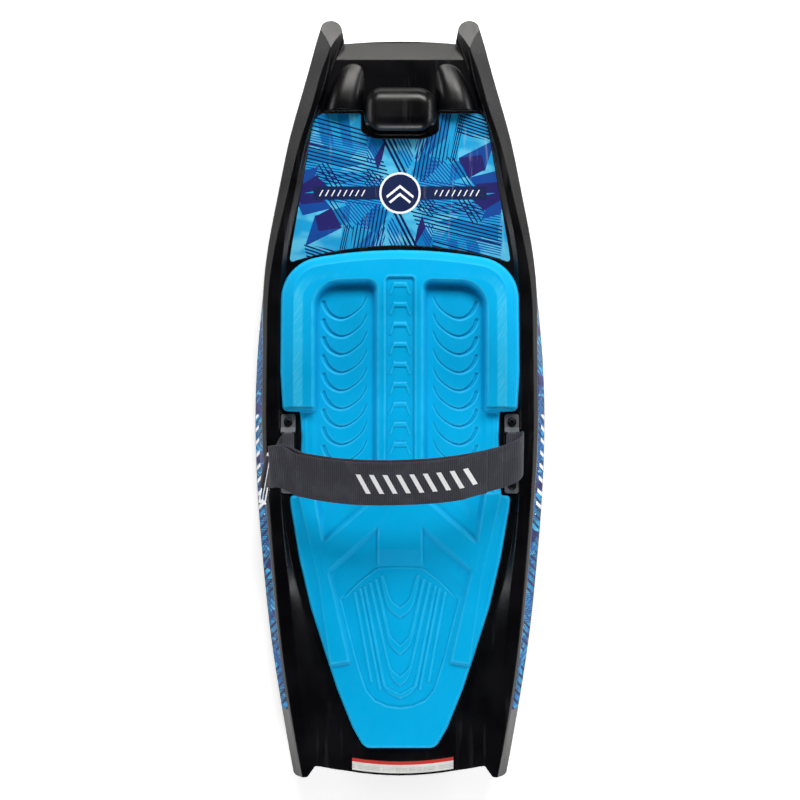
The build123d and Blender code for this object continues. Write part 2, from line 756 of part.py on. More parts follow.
# ---------------------------------------------------------------- the pieces
save(make_hull(), "hull_shell")
save(make_core(FOAM_GAP), "foam_core")
save(make_plug(FILL_Y, FILL_R), "fill_plug")
save(make_plug(VENT_Y, VENT_R), "vent_plug")
save(make_pad(), "knee_pad")
save(make_graphic(-GRAPHIC_SINK, 0, 0), "nose_graphic")
save(make_label(-LABEL_THICK, 0), "safety_label")
for side, name in ((-1, "left"), (1, "right")):
    save(make_rail_strip(side, GRAPHIC_SINK, 0.1, 0), f"rail_graphic_{name}")
    save(make_bracket(side), f"strap_bracket_{name}")
    save(make_washers(side), f"screw_washers_{name}")
    save(make_screws(side), f"bracket_screws_{name}")
    save(make_inserts(side), f"threaded_inserts_{name}")
save(make_layer(-ARCH_HALF, ARCH_HALF, 0, LAYER, STRAP_W), "strap_webbing")
tape_lift = LAYER + STITCH_GAP
hook_lift = tape_lift + TAPE + STITCH_GAP
return_lift = hook_lift + TAPE + STITCH_GAP
save(make_layer(-150, 100, tape_lift, TAPE, STRAP_W - 4), "loop_tape")
save(make_layer(-140, 110, hook_lift, TAPE, STRAP_W - 4), "hook_tape")
save(make_layer(-ARCH_HALF, RETURN_END, return_lift, LAYER, STRAP_W), "strap_return")
save(make_right_end(), "strap_end_right")
save(make_left_end(), "strap_end_left")
save(make_buckle(), "strap_buckle")
save(make_anchor(), "anchor_webbing")
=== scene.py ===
import math

import bpy
import numpy as np
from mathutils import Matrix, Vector


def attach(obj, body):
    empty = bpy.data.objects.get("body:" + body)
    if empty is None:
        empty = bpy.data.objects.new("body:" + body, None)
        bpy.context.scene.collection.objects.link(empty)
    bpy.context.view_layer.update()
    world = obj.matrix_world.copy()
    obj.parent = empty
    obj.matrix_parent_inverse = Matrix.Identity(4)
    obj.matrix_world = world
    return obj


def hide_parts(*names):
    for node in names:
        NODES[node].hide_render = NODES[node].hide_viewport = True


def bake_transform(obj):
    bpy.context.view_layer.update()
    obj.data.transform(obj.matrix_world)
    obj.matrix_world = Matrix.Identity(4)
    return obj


# Kneeboard. Shapes are worked out in millimetres, in the CAD's frame: X right, +Y to the nose,
# +Z up, the origin on the floor under the middle. Meshes are stored in metres.

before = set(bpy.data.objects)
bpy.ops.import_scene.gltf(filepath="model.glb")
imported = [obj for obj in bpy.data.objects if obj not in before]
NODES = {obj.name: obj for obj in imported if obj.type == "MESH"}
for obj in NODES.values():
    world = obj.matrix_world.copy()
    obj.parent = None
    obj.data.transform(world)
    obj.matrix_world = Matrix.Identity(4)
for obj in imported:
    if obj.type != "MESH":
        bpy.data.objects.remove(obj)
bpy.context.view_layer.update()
MM = 0.001
scene = bpy.context.scene
scene.view_settings.view_transform = "Standard"


# ---------------------------------------------------------------- material nodes
def srgb(*rgb):
    """A colour given as 0-255 sRGB, as linear RGBA."""
    linear = [c / 3294.6 if c <= 10.3 else ((c / 255 + 0.055) / 1.055) ** 2.4 for c in rgb]
    return (*linear, 1.0)


class Nodes:
    """One material's node tree, with short calls for the nodes used here."""

    def __init__(self, name):
        self.material = bpy.data.materials.new(name)
        self.material.use_nodes = True
        self.tree = self.material.node_tree
        self.bsdf = self.tree.nodes["Principled BSDF"]
        self.coords = self.add("TexCoord").outputs["Object"]

    def add(self, kind, inputs=None, **settings):
        node = self.tree.nodes.new("ShaderNode" + kind)
        for key, value in settings.items():
            setattr(node, key, value)
        for key, value in (inputs or {}).items():
            self.put(node.inputs[key], value)
        return node

    def put(self, socket, value):
        if isinstance(value, bpy.types.NodeSocket):
            self.tree.links.new(value, socket)
        else:
            socket.default_value = value

    def math(self, operation, a, b=0.0, c=0.0, clamp=False):
        return self.add("Math", {0: a, 1: b, 2: c}, operation=operation, use_clamp=clamp).outputs[0]

    def product(self, *values):
        result = values[0]
        for value in values[1:]:
            result = self.math("MULTIPLY", result, value)
        return result

    def noise(self, scale, detail=3.0, stretch=(1, 1, 1), vector=None, distortion=0.0):
        mapped = self.add("Mapping", {"Vector": vector or self.coords, "Scale": stretch})
        return self.add("TexNoise", {"Vector": mapped.outputs[0], "Scale": scale, "Detail": detail,
                                     "Distortion": distortion}).outputs["Fac"]

    def fade(self, value, low, high, to_low=0.0, to_high=1.0):
        """value taken from low..high to to_low..to_high, with soft ends."""
        return self.add("MapRange", {0: value, 1: low, 2: high, 3: to_low, 4: to_high},
                        interpolation_type="SMOOTHSTEP").outputs[0]

    def mix(self, factor, a, b):
        return self.add("Mix", {0: factor, 6: a, 7: b}, data_type="RGBA").outputs[2]

    def attribute(self, name):
        return self.add("Attribute", attribute_name=name)

    def split(self, vector):
        return self.add("SeparateXYZ", {0: vector}).outputs

    def bump(self, height, distance, strength=1.0, normal=None):
        inputs = {"Height": height, "Distance": distance, "Strength": strength}
        if normal is not None:
            inputs["Normal"] = normal
        return self.add("Bump", inputs).outputs[0]

    def finish(self, colour, roughness, normal=None, **settings):
        """Colour, roughness and normal go to the shader; settings are its own sockets."""
        self.put(self.bsdf.inputs["Base Color"], colour)
        self.put(self.bsdf.inputs["Roughness"], roughness)
        if normal is not None:
            self.put(self.bsdf.inputs["Normal"], normal)
        for key, value in settings.items():
            self.bsdf.inputs[key.replace("_", " ")].default_value = value
        return self.material


def moulded(name, dark, light, rough_low, rough_high, grain=1100, grain_depth=0.00006, rounding=0.0,
            scuff=None, **settings):
    """Moulded or turned solid: mottled colour, uneven gloss, fine grain, scuffs and soft edges."""
    n = Nodes(name)
    mottle = n.noise(14, 4)
    fine = n.noise(grain, 2)
    scratches = n.noise(60, 5, (1, 0.06, 0.5), distortion=0.4)
    scratched = n.product(n.fade(scratches, 0.56, 0.66), n.fade(n.noise(9, 3), 0.45, 0.62))
    colour = n.mix(n.fade(mottle, 0.35, 0.65), dark, light)
    colour = n.mix(n.product(scratched, 0.35), colour, scuff or light)
    rough = n.math("ADD", n.fade(mottle, 0.3, 0.7, rough_low, rough_high),
                   n.product(scratched, 0.12))
    normal = None
    if rounding:
        normal = n.add("Bevel", {"Radius": rounding}, samples=4).outputs[0]
    normal = n.bump(n.noise(7, 2), 0.0012, 0.35, normal)
    normal = n.bump(fine, grain_depth, 0.6, normal)
    return n.finish(colour, rough, normal, **settings)


# Row of slanted bars printed on the strap, in metres: bars a metre, first edge, end and half length.
BARS_PER_METRE, BAR_SHARE, BAR_SLANT = 43.0, 0.36, 0.5
BARS_FROM, BARS_TO, BAR_HALF = -0.068, 0.135, 0.018


def webbing_material(name, dark, light, rib_pitch, rib_depth, fuzz=0.5, bars=False):
    """Woven polyester: cross ribs, warp and weft threads, lint, and a row of printed bars.

    The mesh attribute `strip` holds the distance along the band, the distance across it and x."""
    n = Nodes(name)
    strip = n.attribute("strip").outputs["Vector"]
    along, across, place = n.split(strip)
    ribs = n.math("SINE", n.math("MULTIPLY", along, 2 * math.pi / rib_pitch))
    ribs = n.math("MULTIPLY_ADD", ribs, 0.5, 0.5)
    warp = n.math("SINE", n.math("MULTIPLY", across, 2 * math.pi / 0.0011))
    weft = n.math("SINE", n.math("MULTIPLY", along, 2 * math.pi / 0.0009))
    threads = n.math("MULTIPLY_ADD", n.product(warp, weft), 0.25, 0.5)
    lint = n.noise(700, 4, vector=strip, distortion=1.0)
    patchy_lightening = n.fade(n.noise(26, 3, vector=strip), 0.4, 0.7)
    # Ribs and threads are painted lighter where they are raised and darker between them, matching
    # their bump: a painted highlight and painted shade of the weave. The lint adds real pale fibres.
    tone = n.math("ADD", n.product(ribs, 0.45), n.product(threads, 0.45))
    tone = n.math("ADD", tone, n.product(n.fade(lint, 0.5, 0.75), fuzz))
    colour = n.mix(n.math("MULTIPLY", tone, n.fade(patchy_lightening, 0, 1, 0.75, 1.1), clamp=True), dark, light)
    height = n.math("ADD", ribs, n.product(threads, 0.5))
    height = n.math("ADD", height, n.product(lint, fuzz))
    if bars:
        slant = n.math("MULTIPLY_ADD", across, BAR_SLANT, place)
        count = n.math("MULTIPLY_ADD", slant, BARS_PER_METRE, -BARS_FROM * BARS_PER_METRE)
        bar = n.product(n.math("LESS_THAN", n.math("FRACT", count), BAR_SHARE),
                        n.math("LESS_THAN", n.math("ABSOLUTE", across), BAR_HALF),
                        n.math("GREATER_THAN", slant, BARS_FROM - 0.001),
                        n.math("LESS_THAN", slant, BARS_TO))
        colour = n.mix(n.product(bar, n.fade(lint, 0.2, 0.45, 0.8, 1.0)), colour,
                       srgb(240, 240, 243))
    rough = n.fade(lint, 0.3, 0.7, 0.78, 0.95)
    normal = n.bump(height, rib_depth, 0.8)
    return n.finish(colour, rough, normal, Sheen_Weight=0.04, Sheen_Roughness=0.5,
                    Specular_IOR_Level=0.3)


# ---------------------------------------------------------------- mesh helpers
def make_object(name, points, faces, material, smooth=True):
    """Mesh object from points in millimetres."""
    mesh = bpy.data.meshes.new(name)
    mesh.from_pydata((np.asarray(points) * MM).tolist(), [], faces)
    mesh.validate()
    mesh.update()
    mesh.polygons.foreach_set("use_smooth", [smooth] * len(mesh.polygons))
    mesh.materials.append(material)
    obj = bpy.data.objects.new(name, mesh)
    scene.collection.objects.link(obj)
    return obj


def set_attribute(obj, name, kind, values):
    attribute = obj.data.attributes.new(name, kind, "POINT")
    attribute.data.foreach_set("vector" if kind == "FLOAT_VECTOR" else "value",
                               np.asarray(values, np.float32).ravel())


def smoothstep(t):
    t = np.clip(t, 0, 1)
    return t * t * (3 - 2 * t)


def curve_through(points, step):
    """Points about `step` apart on a smooth curve through `points`, with any number of columns."""
    p = np.asarray(points, float)
    p = np.vstack([2 * p[0] - p[1], p, 2 * p[-1] - p[-2]])
    out = []
    for a, b, c, d in zip(p[:-3], p[1:-2], p[2:-1], p[3:]):
        count = max(2, int(round(np.linalg.norm((c - b)[:3]) / step)))
        t = np.linspace(0, 1, count, endpoint=False)[:, None]
        out.append(0.5 * (2 * b + (c - a) * t + (2 * a - 5 * b + 4 * c - d) * t**2
                          + (3 * b - a - 3 * c + d) * t**3))
    return np.vstack(out + [p[-2:-1]])


def rounded(points, radii, closed=False):
    """Polyline with its corners rounded, as dense points."""
    p = [np.asarray(q, float) for q in points]
    out = []
    corners = range(len(p)) if closed else range(1, len(p) - 1)
    radii = dict(zip(corners, radii))
    for i, q in enumerate(p):
        r = radii.get(i, 0)
        if not r:
            out.append(q)
            continue
        a, b = p[i - 1] - q, p[(i + 1) % len(p)] - q
        la, lb = np.linalg.norm(a), np.linalg.norm(b)
        a, b = a / la, b / lb
        half = math.acos(np.clip(a @ b, -1, 1)) / 2
        first, last = not closed and i == 1, not closed and i == len(p) - 2
        reach = min(r / math.tan(half), (0.99 if first else 0.499) * la,
                    (0.99 if last else 0.499) * lb)
        start, end = q + a * reach, q + b * reach
        centre = q + (a + b) / np.linalg.norm(a + b) * reach / math.cos(half)
        sweep = math.pi - 2 * half
        for t in np.linspace(0, 1, max(3, int(sweep * 8))):
            v = (start - centre) * math.sin((1 - t) * sweep) + (end - centre) * math.sin(t * sweep)
            out.append(centre + v / math.sin(sweep))
    return np.array(out)


def line_distance(x, y, line):
    """Distance to a polyline, and how far along it (0..1) the nearest point is."""
    line = np.asarray(line, float)
    lengths = np.linalg.norm(np.diff(line, axis=0), axis=1)
    starts = np.concatenate([[0], np.cumsum(lengths)])
    best, place = np.full(x.shape, 1e9), np.zeros(x.shape)
    for (ax, ay), (bx, by), length, start in zip(line[:-1], line[1:], lengths, starts):
        if length < 1e-6:
            continue
        dx, dy = (bx - ax) / length, (by - ay) / length
        t = np.clip((x - ax) * dx + (y - ay) * dy, 0, length)
        d = np.hypot(x - ax - t * dx, y - ay - t * dy)
        nearer = d < best
        best = np.where(nearer, d, best)
        place = np.where(nearer, (start + t) / starts[-1], place)
    return best, place


def inside_distance(x, y, outline):
    """Distance from a closed outline, positive inside it."""
    outline = np.asarray(outline, float)
    ring = np.vstack([outline, outline[:1]])
    inside = np.zeros(x.shape, bool)
    for (ax, ay), (bx, by) in zip(ring[:-1], ring[1:]):
        if ay == by:
            continue
        crosses = ((ay > y) != (by > y)) & (x < (bx - ax) * (y - ay) / (by - ay) + ax)
        inside ^= crosses
    d, _ = line_distance(x, y, ring)
    return np.where(inside, d, -d)


def beyond(x, y, p, q):
    """Distance to the left of the line from p to q."""
    (px, py), (qx, qy) = p, q
    length = math.hypot(qx - px, qy - py)
    return ((qx - px) * (y - py) - (qy - py) * (x - px)) / length


# ---------------------------------------------------------------- knee pad
PAD_TOP, PAD_TAIL_TOP, PAD_SEAT = 84, 70, 58
BOLSTER_TOP, RIDGE_TOP, WELL_FLOOR = 101, 93, 79
PAD_STEP = 1.5
PAD_EDGE_R = 6
NOTCH_Y = -21               # the thigh bolsters end here, where the brackets begin
NOSE_ARC = [(0, 268), (46, 266.8), (92, 263), (136, 257.2)]
SIDE = [(136, 257.2), (212.5, 243), (214, 50), (209.5, -21), (179.5, -21), (177, -67), (181, -171),
        (198, -171), (196.5, -190), (181, -283), (160.5, -372), (135, -452), (113, -519),
        (85, -589), (64, -625), (0, -625)]
SIDE_RADII = [77, 60, 10, 2, 30, 5, 7, 8, 200, 200, 200, 200, 100, 20]
HALF_OUTLINE = np.vstack([curve_through(NOSE_ARC, 8)[:-1], rounded(SIDE, SIDE_RADII)])
PAD_OUTLINE = np.vstack([HALF_OUTLINE, HALF_OUTLINE[-2:0:-1] * (-1, 1)])
FLANK = np.vstack([HALF_OUTLINE[HALF_OUTLINE[:, 1] > 40], [(212, -400), (-212, -400)],
                   HALF_OUTLINE[HALF_OUTLINE[:, 1] > 40][:0:-1] * (-1, 1)])
WELL = rounded([(38, 217), (157, 214), (157, -165), (38, -165)], [20, 50, 12, 12], closed=True)
GROOVE = curve_through([(57.5, 0), (69, -24), (90, -41), (108, -45.5), (123.5, -38.5), (132.5, -27),
                        (136.5, -16.5)], 3)
GROOVE_TOP, GROOVE_PITCH, GROOVES = 191, 32.2, 11
CHEVRON_TOP, CHEVRON_PITCH = 210, 35.6
LOWER_BOLSTER = [(153, -167), (181, -167), (146, -318), (124, -472), (92, -467), (129.5, -304),
                 (137, -267)]
HALF_SLOPE_TOP = [(0, -267), (38, -267.5), (43, -275.5), (64, -282), (90, -304), (115, -335),
             (128, -352), (128, -700)]
HALF_PLATE = [(0, -300), (37, -301), (46, -305.5), (74, -328), (103, -357.5), (82.5, -439), (76, -465),
         (58, -520), (43, -537.5), (22, -547), (0, -550)]
SLOPE_TOP, PLATE = (np.vstack([half, np.array(half)[::-1] * (-1, 1)])
                    for half in (HALF_SLOPE_TOP, HALF_PLATE))
# Raised bands of the foot plate: inner edge, then outer edge, each from its leg to the middle.
BANDS = [
    ([(29.5, -314), (24, -333), (19.5, -349.5), (12, -362.5), (0, -371.5)],
     [(35, -314), (29.5, -344), (23, -368), (14, -380.5), (0, -391.5)]),
    ([(40.5, -320.5), (29, -370), (17.5, -419), (10.5, -430), (0, -440)],
     [(45.5, -321), (33.5, -375), (21.5, -430), (14, -444.5), (0, -457.5)]),
    ([(51, -327), (35, -398), (19.5, -470), (10.5, -486.5), (0, -495.5)],
     [(56, -327.5), (40, -400), (23, -472), (18, -491), (10.5, -504.5), (0, -513)]),
    ([(61, -333.5), (44, -419), (27, -504.5), (19.5, -516), (0, -527.5)],
     [(66, -334), (49.5, -418), (33, -502), (28, -516), (19.5, -526.5), (0, -536)]),
]
SINGLE_BANDS = [[(70.5, -339.5), (36, -517.5)], [(80.5, -346), (51.5, -504)]]


def pad_base(y):
    return PAD_TOP - (PAD_TOP - PAD_TAIL_TOP) * np.clip((-170 - y) / 455, 0, 1)


def knee_area(ax, y):
    """Thigh bolsters, wells with their grooves, and the spine with its chevrons."""
    flank = 24 - 8 * smoothstep((y - 170) / 70)
    crest = BOLSTER_TOP - 11 * np.clip(1 - inside_distance(ax, y, FLANK) / flank, 0, 1)
    bolster = 82 + (crest - 82) * smoothstep((y - NOTCH_Y + 3) / 13)
    bolster += 1.0 * np.exp(-((ax - 168) / 2.2) ** 2) * smoothstep((-26 - y) / 10)
    ridge = RIDGE_TOP + (BOLSTER_TOP - RIDGE_TOP) * smoothstep((y - 140) / 76)
    z = np.where(ax > 100, bolster, np.minimum(ridge, crest))
    well = inside_distance(ax, y, WELL)
    z = z - (z - WELL_FLOOR) * smoothstep(well / 11.5)
    for k in range(GROOVES):
        shift = GROOVE_TOP - GROOVE_PITCH * k
        near = (ax > 50) & (ax < 150) & (y < shift + 8) & (y > shift - 54)
        d, s = line_distance(ax[near], y[near], GROOVE + (0, shift))
        half = 0.7 + 2.5 * smoothstep((s - 0.3) / 0.65)
        z[near] -= 2.2 * smoothstep((half - d) / 1.6 + 0.5) * smoothstep(s / 0.1)
    dx, dy = ax - 18.8, np.abs(y - 24) - 188
    spine = 8 - np.hypot(np.maximum(dx, 0), np.maximum(dy, 0)) - np.minimum(np.maximum(dx, dy), 0)
    z -= 4 * smoothstep(spine / 3)
    z += 1.1 * np.exp(-((spine + 1.2) / 1.4) ** 2)
    v = np.mod(CHEVRON_TOP - y, CHEVRON_PITCH)
    bar = smoothstep(v / 1.5) * smoothstep((9 - v) / 1.5) * smoothstep((10.2 + 0.37 * v - ax) / 1.5)
    leg, _ = line_distance(ax, v, [(10, 0.8), (17.4, 21)])
    raised = np.maximum(1.7 * bar, 1.3 * smoothstep((2.3 - leg) / 1.6))
    return z + raised * (y < CHEVRON_TOP)


def shin_area(ax, y):
    """Chevron steps, lower bolsters and the foot plate with its nested bands."""
    base = pad_base(y)
    z = base + 5
    z -= 6 * smoothstep(beyond(ax, y, (45.5, -181), (135.5, -259)) / 10)
    z -= 4 * smoothstep(beyond(ax, y, (88, -180), (138.5, -224)) / 20)
    below = beyond(ax, y, (125, -298.5), (41.5, -224.5)) / 11.4
    z -= 5.5 * smoothstep(np.minimum(below, (ax - 38.5) / 4))
    slope_top = inside_distance(ax, y, SLOPE_TOP)
    plate = inside_distance(ax, y, PLATE)
    t = np.clip(slope_top / np.maximum(slope_top - plate, 1e-6), 0, 1)
    t = np.where(plate > 0, 1, np.where(slope_top < 0, 0, t))
    low = base - 4.5
    upper = z + (low - z) * t
    open_end = base + (low - base) * smoothstep(plate / 3 + 1)
    z = upper + (open_end - upper) * smoothstep((-342 - y) / 20)
    z += (1.1 + 0.3 * (plate > 0)) * smoothstep((plate + 1.5) / 1.8)
    z += 0.8 * np.exp(-((plate - 0.3) / 1.5) ** 2)
    bolster = inside_distance(ax, y, LOWER_BOLSTER)
    crest_x = np.interp(y, [-480, -318, -167], [107, 137, 167])
    z = z + (base - z) * smoothstep((ax - crest_x + 4) / 8)
    width = np.where(ax < crest_x, 8, 13)
    width = width + (7 - width) * smoothstep((-452 - y) / 20)
    top = np.where(y > -285, 92 - 7.5 * (-167 - y) / 118, 84.5 - 3.5 * (-285 - y) / 182)
    rise = np.clip(1 + bolster / width, 0, 1)
    z = z + np.maximum(top - z, 0) * rise * (0.35 + 0.65 * rise)
    for inner_edge, outer_edge in BANDS:
        a, b = curve_through(inner_edge, 4), curve_through(outer_edge, 4)
        loop = np.vstack([a, a[-2::-1] * (-1, 1), b * (-1, 1), b[-2::-1]])
        z += 1.7 * smoothstep((inside_distance(ax, y, loop) + 0.8) / 1.7)
    for line in SINGLE_BANDS:
        z += 1.7 * smoothstep((3.2 - line_distance(ax, y, line)[0]) / 1.7)
    return z


def pad_height(x, y, edge):
    """Height of the pad's top, edge being the distance inside its outline."""
    ax = np.abs(x)
    lower = smoothstep((-148 - y) / 18)
    z = knee_area(ax, y) * (1 - lower) + shin_area(ax, y) * lower
    z += 0.18 * np.sin(x / 31 + 1) * np.sin(y / 43) + 0.1 * np.sin(x / 11 + y / 17)
    short = PAD_EDGE_R - np.clip(edge, 0, PAD_EDGE_R)
    return z - (PAD_EDGE_R - np.sqrt(PAD_EDGE_R**2 - short**2))


def boundary_loop(faces):
    """The vertices round a patch of quads, in order."""
    step = {}
    for face in faces:
        for a, b in zip(face, np.roll(face, -1)):
            step[(a, b)] = True
    follow = {a: b for a, b in step if (b, a) not in step}
    start = next(iter(follow))
    loop = [start]
    while follow[loop[-1]] != start:
        loop.append(follow[loop[-1]])
    return loop


def on_outline(points):
    """Points moved to the nearest place on the pad's outline, at the height of its edge."""
    ring = np.vstack([PAD_OUTLINE, PAD_OUTLINE[:1]])
    a, ab = ring[:-1], np.diff(ring, axis=0)
    rel = points[:, None, :2] - a
    t = np.clip((rel * ab).sum(-1) / (ab**2).sum(-1), 0, 1)
    on_line = a + t[..., None] * ab
    nearest = np.linalg.norm(points[:, None, :2] - on_line, axis=-1).argmin(1)
    x, y = on_line[np.arange(len(points)), nearest].T
    return np.stack([x, y, pad_height(x, y, np.zeros(len(x)))], -1)


def pad_walls(points, loop):
    """Rings that take the pad's edge down to its seat, as (drop, inset), and the bottom face."""
    walls, faces, last, count = [], [], loop, len(points)
    for drop, inset in ((0.45, 0.0), (0.96, 0.2), (1.0, 0.9)):
        wall = points[loop].copy()
        middle = np.roll(wall[:, :2], -1, axis=0) - np.roll(wall[:, :2], 1, axis=0)
        normal = np.stack([middle[:, 1], -middle[:, 0]], -1)
        normal /= np.maximum(np.linalg.norm(normal, axis=1, keepdims=True), 1e-9)
        wall[:, :2] -= normal * inset
        wall[:, 2] += (PAD_SEAT - wall[:, 2]) * drop
        new = np.arange(len(loop)) + count
        count += len(loop)
        walls.append(wall)
        faces += np.stack([np.roll(last, -1), last, new, np.roll(new, -1)], -1).tolist()
        last = new
    faces.append(last[::-1].tolist())
    return walls, faces


def make_pad(material):
    xs = np.arange(-216, 216 + PAD_STEP / 2, PAD_STEP)
    ys = np.arange(-627, 270, PAD_STEP)
    x, y = (g.ravel() for g in np.meshgrid(xs, ys))
    edge = inside_distance(x, y, PAD_OUTLINE)
    z = pad_height(x, y, edge)
    grid = z.reshape(len(ys), len(xs))
    bend = sum(np.gradient(np.gradient(grid, PAD_STEP, axis=k), PAD_STEP, axis=k) for k in (0, 1))
    bend = bend.ravel()
    keep = edge > 0.3
    index = np.arange(len(x)).reshape(len(ys), len(xs))
    quads = np.stack([index[:-1, :-1], index[:-1, 1:], index[1:, 1:], index[1:, :-1]], -1)
    quads = quads.reshape(-1, 4)
    quads = quads[keep[quads].all(axis=1)]
    used, quads = np.unique(quads, return_inverse=True)
    quads = quads.reshape(-1, 4)
    points = np.stack([x, y, z], -1)[used]
    bend = bend[used]
    rim = inside_distance(points[:, 0], points[:, 1], FLANK) * (points[:, 1] > NOTCH_Y + 3)
    loop = np.array(boundary_loop(quads.tolist()))
    points[loop] = on_outline(points[loop])
    bend[loop] = 0
    walls, wall_faces = pad_walls(points, loop)
    faces, all_points = quads.tolist() + wall_faces, [points, *walls]
    pad = make_object("knee_pad_foam", np.vstack(all_points), faces, material)
    extra = sum(len(p) for p in all_points[1:])
    set_attribute(pad, "bend", "FLOAT", np.concatenate([bend, np.zeros(extra)]))
    set_attribute(pad, "rim", "FLOAT", np.concatenate([rim, np.zeros(extra)]))
    return pad


def pad_material():
    n = Nodes("pad_foam")
    _, y, _ = n.split(n.coords)
    bend = n.attribute("bend").outputs["Fac"]
    # Convex edges, where bend is below zero, are painted lighter in patches: a painted highlight along
    # the crisp edges of the relief.
    patchy_lightening = n.product(n.fade(bend, -0.02, -0.3), n.fade(n.noise(45, 4), 0.3, 0.6, 0.45, 1.0))
    # Concave hollows, where bend is above zero, are painted darker: painted shade in the creases and
    # grooves.
    crease_shade = n.product(n.fade(bend, 0.02, 0.4), 0.5)
    mottle = n.fade(n.noise(5, 3), 0.3, 0.7)
    colour = n.mix(mottle, srgb(0, 163, 221), srgb(3, 172, 231))
    colour = n.mix(n.product(patchy_lightening, 0.38), colour, srgb(60, 200, 243))
    colour = n.mix(crease_shade, colour, srgb(0, 128, 186))
    rim = n.attribute("rim").outputs["Fac"]
    # A band about 24 to 40 mm inside the flank outline, along the thigh bolster's sloped facet, is
    # painted lighter: a painted highlight where the facet faces the light. The real scratches gather
    # in the same band.
    scuffed_lit_facet = n.product(n.fade(rim, 22.5, 24.5), n.fade(rim, 42, 38), n.fade(y, 0.235, 0.17))
    diagonal = n.add("Mapping", {"Vector": n.coords, "Rotation": (0, 0, 0.6)}).outputs[0]
    scratches = n.noise(700, 3, (1.0, 0.05, 1.0), vector=diagonal, distortion=0.3)
    scratches = n.product(n.fade(scratches, 0.52, 0.62), n.math("MULTIPLY_ADD", scuffed_lit_facet, 0.9, 0.05))
    colour = n.mix(n.product(scuffed_lit_facet, 0.35), colour, srgb(70, 208, 246))
    colour = n.mix(n.product(scratches, 0.28), colour, srgb(120, 218, 248))
    skin = n.noise(1500, 2)
    cells = n.add("TexVoronoi", {"Vector": n.coords, "Scale": 900.0}).outputs["Distance"]
    rough = n.math("ADD", n.fade(n.noise(30, 4), 0.3, 0.7, 0.40, 0.50), n.product(scratches, 0.15))
    normal = n.bump(n.noise(22, 3), 0.0008, 0.3)
    normal = n.bump(n.math("ADD", skin, n.product(cells, 0.5)), 0.00007, 0.5, normal)
    normal = n.bump(scratches, 0.0003, 0.5, normal)
    return n.finish(colour, rough, normal, IOR=1.45, Specular_IOR_Level=0.09)


# ---------------------------------------------------------------- strap
PIVOT_Y, PIVOT_Z = -96, 91.75
LEAN = math.radians(23)
ARCH_TOP, ARCH_DROP, ARCH_HALF = 106, 34, 190
WEB = 2.5
TAPE = 1.15
STRAP_W, NARROW_W = 82, 74
SPLIT_X = 182               # the arch moves with the strap's body between here and -here
UPPER_LIFT = 5.4            # the folded-back layer lies on the two tapes
RETURN_END = 152
BUCKLE_C = np.array((-236, -139, 113.0))
SKEW, PITCH = math.radians(10), math.radians(63)
LONG_SIDE = np.array((math.sin(SKEW), math.cos(SKEW), 0))
BUCKLE_UP = np.array((math.cos(PITCH) * math.cos(SKEW), -math.cos(PITCH) * math.sin(SKEW),
                      math.sin(PITCH)))
BUCKLE_IN = np.cross(LONG_SIDE, BUCKLE_UP)
ARCH_ACROSS = (0, math.cos(LEAN), math.sin(LEAN))
LEVEL = (0, 1, 0)


def arch(u, lift, shift=0.0, width=STRAP_W):
    """A point on the arch with the band's direction across and width there."""
    v = ARCH_TOP - ARCH_DROP * (abs(u) / ARCH_HALF) ** 2.6 + lift
    drift = -3.5 + 0.028 * u + 9 * (u / ARCH_HALF) ** 2 + shift
    return (u, PIVOT_Y - v * math.sin(LEAN) + drift, PIVOT_Z + v * math.cos(LEAN),
            *ARCH_ACROSS, width)


def near_buckle(up, inward, shift=16, width=62):
    """A point of the band near the buckle, `up` and `inward` from the buckle's middle."""
    centre = BUCKLE_C + BUCKLE_UP * up + BUCKLE_IN * inward + LONG_SIDE * shift
    return (*centre, *LONG_SIDE, width)


def framed(stations):
    """Stations with the band's face direction and the distance run added to each."""
    p, across = stations[:, :3], stations[:, 3:6].copy()
    across /= np.linalg.norm(across, axis=1, keepdims=True)
    normal = np.cross(np.gradient(p, axis=0), across)
    normal /= np.linalg.norm(normal, axis=1, keepdims=True)
    run = np.concatenate([[0], np.cumsum(np.linalg.norm(np.diff(p, axis=0), axis=1))])
    return np.hstack([p, across, stations[:, 6:7], normal, run[:, None]])


def ribbon(name, band, thick, material, curl=0.5):
    """Closed band of webbing from framed stations."""
    p, across, width, normal = band[:, :3], band[:, 3:6], band[:, 6], band[:, 7:10]
    t = np.sin(np.linspace(-1, 1, 17) * math.pi / 2) * 0.35 + np.linspace(-1, 1, 17) * 0.65
    half = thick / 2 * (1 - 0.5 * np.abs(t) ** 10)
    wave = np.sin(p[:, :1] / 27 + 1.3) * 0.6 * t + np.sin(p[:, :1] / 12 + 4 * t) * 0.18
    wave *= curl * np.sign(normal[:, 2:] + 1e-9)
    rings, strip = [], []
    for side, order in ((1, slice(None)), (-1, slice(None, None, -1))):
        tt, hh, ww = t[order], half[order], wave[:, order]
        offset = across[:, None] * (tt[None, :, None] * width[:, None, None] / 2)
        lift = normal[:, None] * (side * hh[None, :, None] + ww[..., None])
        rings.append(p[:, None] + offset + lift)
        columns = np.broadcast_arrays(band[:, 10:], tt[None] * width[:, None] / 2, p[:, :1])
        strip.append(np.stack(columns, -1))
    points, strip = np.concatenate(rings, 1), np.concatenate(strip, 1) * MM
    count, size = points.shape[:2]
    index = np.arange(count * size).reshape(count, size)
    nxt = np.roll(index, -1, axis=1)
    faces = np.stack([index[:-1], index[1:], nxt[1:], nxt[:-1]], -1).reshape(-1, 4).tolist()
    caps = len(faces)
    faces += [index[0].tolist(), index[-1][::-1].tolist()]
    obj = make_object(name, points.reshape(-1, 3), faces, material)
    for face in obj.data.polygons[caps:]:
        face.use_smooth = False
    set_attribute(obj, "strip", "FLOAT_VECTOR", strip)
    return obj


